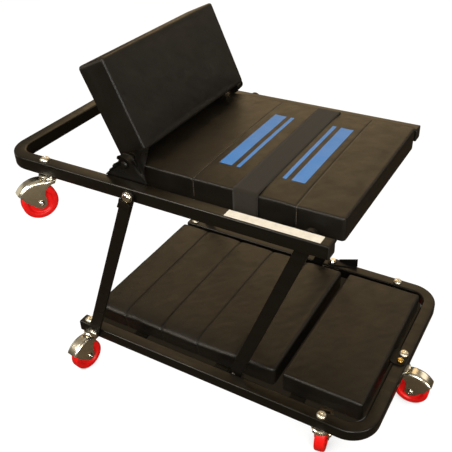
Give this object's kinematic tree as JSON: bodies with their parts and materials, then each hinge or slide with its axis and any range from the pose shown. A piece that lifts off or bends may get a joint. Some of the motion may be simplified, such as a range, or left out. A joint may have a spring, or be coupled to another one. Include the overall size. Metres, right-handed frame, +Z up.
{
  "type": "mechanic creeper",
  "caption": "Folding mechanic's creeper standing as a rolling seat: two tube frames on parallel links, padded deck, tilting headrest and swivel casters.",
  "frame": {"origin": "on the floor under the middle of the box that holds the seat pose", "axes": "+X to the foot end, +Z up, +Y to the side with the lock lever"},
  "size_m": [0.7968, 0.5432, 0.6779],
  "materials": {
    "paint": "semi-gloss black",
    "plastic": "matt black",
    "vinyl": "grained black vinyl",
    "elastic": "woven dark grey",
    "ply": "plain plywood",
    "zinc": "bright zinc plate",
    "chrome": "bright",
    "steel": "plain",
    "brass": "bright",
    "red": "satin red"
  },
  "bodies": {
    "lower_frame": {"back_pad": "vinyl", "back_pad_board": "ply", "centre_caster_stem": "chrome", "foot_caster_far_stem": "chrome", "foot_caster_near_stem": "chrome", "foot_pad": "vinyl", "foot_pad_board": "ply", "keeper_plate": "paint", "keeper_screw": "brass", "lock_bolt": "chrome", "lower_fold_bolt_far": "chrome", "lower_fold_bolt_near": "chrome", "lower_frame_weldment": "paint", "lower_plug_far": "plastic", "lower_plug_near": "plastic", "open_end_caster_far_stem": "chrome", "open_end_caster_near_stem": "chrome"},
    "centre_caster_swivel": {"centre_caster_axle": "steel", "centre_caster_fork": "zinc"},
    "centre_caster_spin": {"centre_caster_wheel": "red"},
    "foot_caster_far_swivel": {"foot_caster_far_axle": "steel", "foot_caster_far_fork": "zinc"},
    "foot_caster_far_spin": {"foot_caster_far_wheel": "red"},
    "foot_caster_near_swivel": {"foot_caster_near_axle": "steel", "foot_caster_near_fork": "zinc"},
    "foot_caster_near_spin": {"foot_caster_near_wheel": "red"},
    "head_caster_far_swivel": {"head_caster_far_axle": "steel", "head_caster_far_fork": "zinc"},
    "upper_frame": {"head_caster_far_stem": "chrome", "head_caster_near_stem": "chrome", "headrest_bolt_far": "paint", "headrest_bolt_near": "paint", "headrest_bracket_far": "paint", "headrest_bracket_near": "paint", "seat_board": "ply", "seat_elastic_band": "elastic", "seat_pad": "vinyl", "upper_fold_bolt_far": "chrome", "upper_fold_bolt_near": "chrome", "upper_frame_weldment": "paint", "upper_plug_far": "plastic", "upper_plug_near": "plastic"},
    "head_caster_far_spin": {"head_caster_far_wheel": "red"},
    "head_caster_near_swivel": {"head_caster_near_axle": "steel", "head_caster_near_fork": "zinc"},
    "head_caster_near_spin": {"head_caster_near_wheel": "red"},
    "headrest": {"headrest_board": "ply", "headrest_hinge_plate": "paint", "headrest_pad": "vinyl"},
    "inner_links": {"inner_link_far": "paint", "inner_link_near": "paint"},
    "lock": {"lock_lever": "paint"},
    "open_end_caster_far_swivel": {"open_end_caster_far_axle": "steel", "open_end_caster_far_fork": "zinc"},
    "open_end_caster_far_spin": {"open_end_caster_far_wheel": "red"},
    "open_end_caster_near_swivel": {"open_end_caster_near_axle": "steel", "open_end_caster_near_fork": "zinc"},
    "open_end_caster_near_spin": {"open_end_caster_near_wheel": "red"},
    "outer_links": {"outer_link_far": "paint", "outer_link_near": "paint"}
  },
  "joints": [
    {"name": "fold", "type": "hinge", "parent": "lower_frame", "child": "outer_links", "pos_m": [-0.24776, 0, 0.09649], "axis": [0, -1, 0], "range_deg": [0, 111.2]},
    {"name": "upper_frame_level", "type": "hinge", "parent": "outer_links", "child": "upper_frame", "pos_m": [-0.10181, 0, 0.46988], "axis": [0, -1, 0], "range_deg": [-111.3, 0.1]},
    {"name": "inner_link_swing", "type": "hinge", "parent": "lower_frame", "child": "inner_links", "pos_m": [0.06724, 0, 0.09649], "axis": [0, -1, 0], "range_deg": [-0.1, 111.3]},
    {"name": "headrest_tilt", "type": "hinge", "parent": "upper_frame", "child": "headrest", "pos_m": [-0.12441, 0, 0.51008], "axis": [0, -1, 0], "range_deg": [0, 66.1]},
    {"name": "lock_lever_swing", "type": "hinge", "parent": "lower_frame", "child": "lock", "pos_m": [0.10274, 0.2075, 0.10899], "axis": [0, 0, 1], "range_deg": [0, 60]},
    {"name": "centre_caster_turn", "type": "hinge", "parent": "lower_frame", "child": "centre_caster_swivel", "pos_m": [0.33524, 0, 0.08399], "axis": [0, 0, 1], "continuous": true},
    {"name": "centre_caster_roll", "type": "hinge", "parent": "centre_caster_swivel", "child": "centre_caster_spin", "pos_m": [0.36022, 0.00087, 0.03299], "axis": [-0.0349, 0.9994, 0], "continuous": true},
    {"name": "foot_caster_far_turn", "type": "hinge", "parent": "lower_frame", "child": "foot_caster_far_swivel", "pos_m": [0.25474, 0.2075, 0.08399], "axis": [0, 0, 1], "continuous": true},
    {"name": "foot_caster_far_roll", "type": "hinge", "parent": "foot_caster_far_swivel", "child": "foot_caster_far_spin", "pos_m": [0.24997, 0.18296, 0.03299], "axis": [0.9816, -0.1908, 0], "continuous": true},
    {"name": "foot_caster_near_turn", "type": "hinge", "parent": "lower_frame", "child": "foot_caster_near_swivel", "pos_m": [0.25474, -0.2075, 0.08399], "axis": [0, 0, 1], "continuous": true},
    {"name": "foot_caster_near_roll", "type": "hinge", "parent": "foot_caster_near_swivel", "child": "foot_caster_near_spin", "pos_m": [0.24997, -0.18296, 0.03299], "axis": [-0.9816, -0.1908, 0], "continuous": true},
    {"name": "head_caster_far_turn", "type": "hinge", "parent": "upper_frame", "child": "head_caster_far_swivel", "pos_m": [-0.29941, 0.2075, 0.45738], "axis": [0, 0, 1], "continuous": true},
    {"name": "head_caster_far_roll", "type": "hinge", "parent": "head_caster_far_swivel", "child": "head_caster_far_spin", "pos_m": [-0.31191, 0.22915, 0.40638], "axis": [-0.866, -0.5, 0], "continuous": true},
    {"name": "head_caster_near_turn", "type": "hinge", "parent": "upper_frame", "child": "head_caster_near_swivel", "pos_m": [-0.29941, -0.2075, 0.45738], "axis": [0, 0, 1], "continuous": true},
    {"name": "head_caster_near_roll", "type": "hinge", "parent": "head_caster_near_swivel", "child": "head_caster_near_spin", "pos_m": [-0.31191, -0.22915, 0.40638], "axis": [0.866, -0.5, 0], "continuous": true},
    {"name": "open_end_caster_far_turn", "type": "hinge", "parent": "lower_frame", "child": "open_end_caster_far_swivel", "pos_m": [-0.27026, 0.2075, 0.08399], "axis": [0, 0, 1], "continuous": true},
    {"name": "open_end_caster_far_roll", "type": "hinge", "parent": "open_end_caster_far_swivel", "child": "open_end_caster_far_spin", "pos_m": [-0.27417, 0.23219, 0.03299], "axis": [-0.9877, -0.1564, 0], "continuous": true},
    {"name": "open_end_caster_near_turn", "type": "hinge", "parent": "lower_frame", "child": "open_end_caster_near_swivel", "pos_m": [-0.27026, -0.2075, 0.08399], "axis": [0, 0, 1], "continuous": true},
    {"name": "open_end_caster_near_roll", "type": "hinge", "parent": "open_end_caster_near_swivel", "child": "open_end_caster_near_spin", "pos_m": [-0.27417, -0.23219, 0.03299], "axis": [0.9877, -0.1564, 0], "continuous": true}
  ],
  "couplings": [
    {"joint": "upper_frame_level", "follows": "fold", "ratio": -1},
    {"joint": "inner_link_swing", "follows": "fold", "ratio": 1}
  ]
}
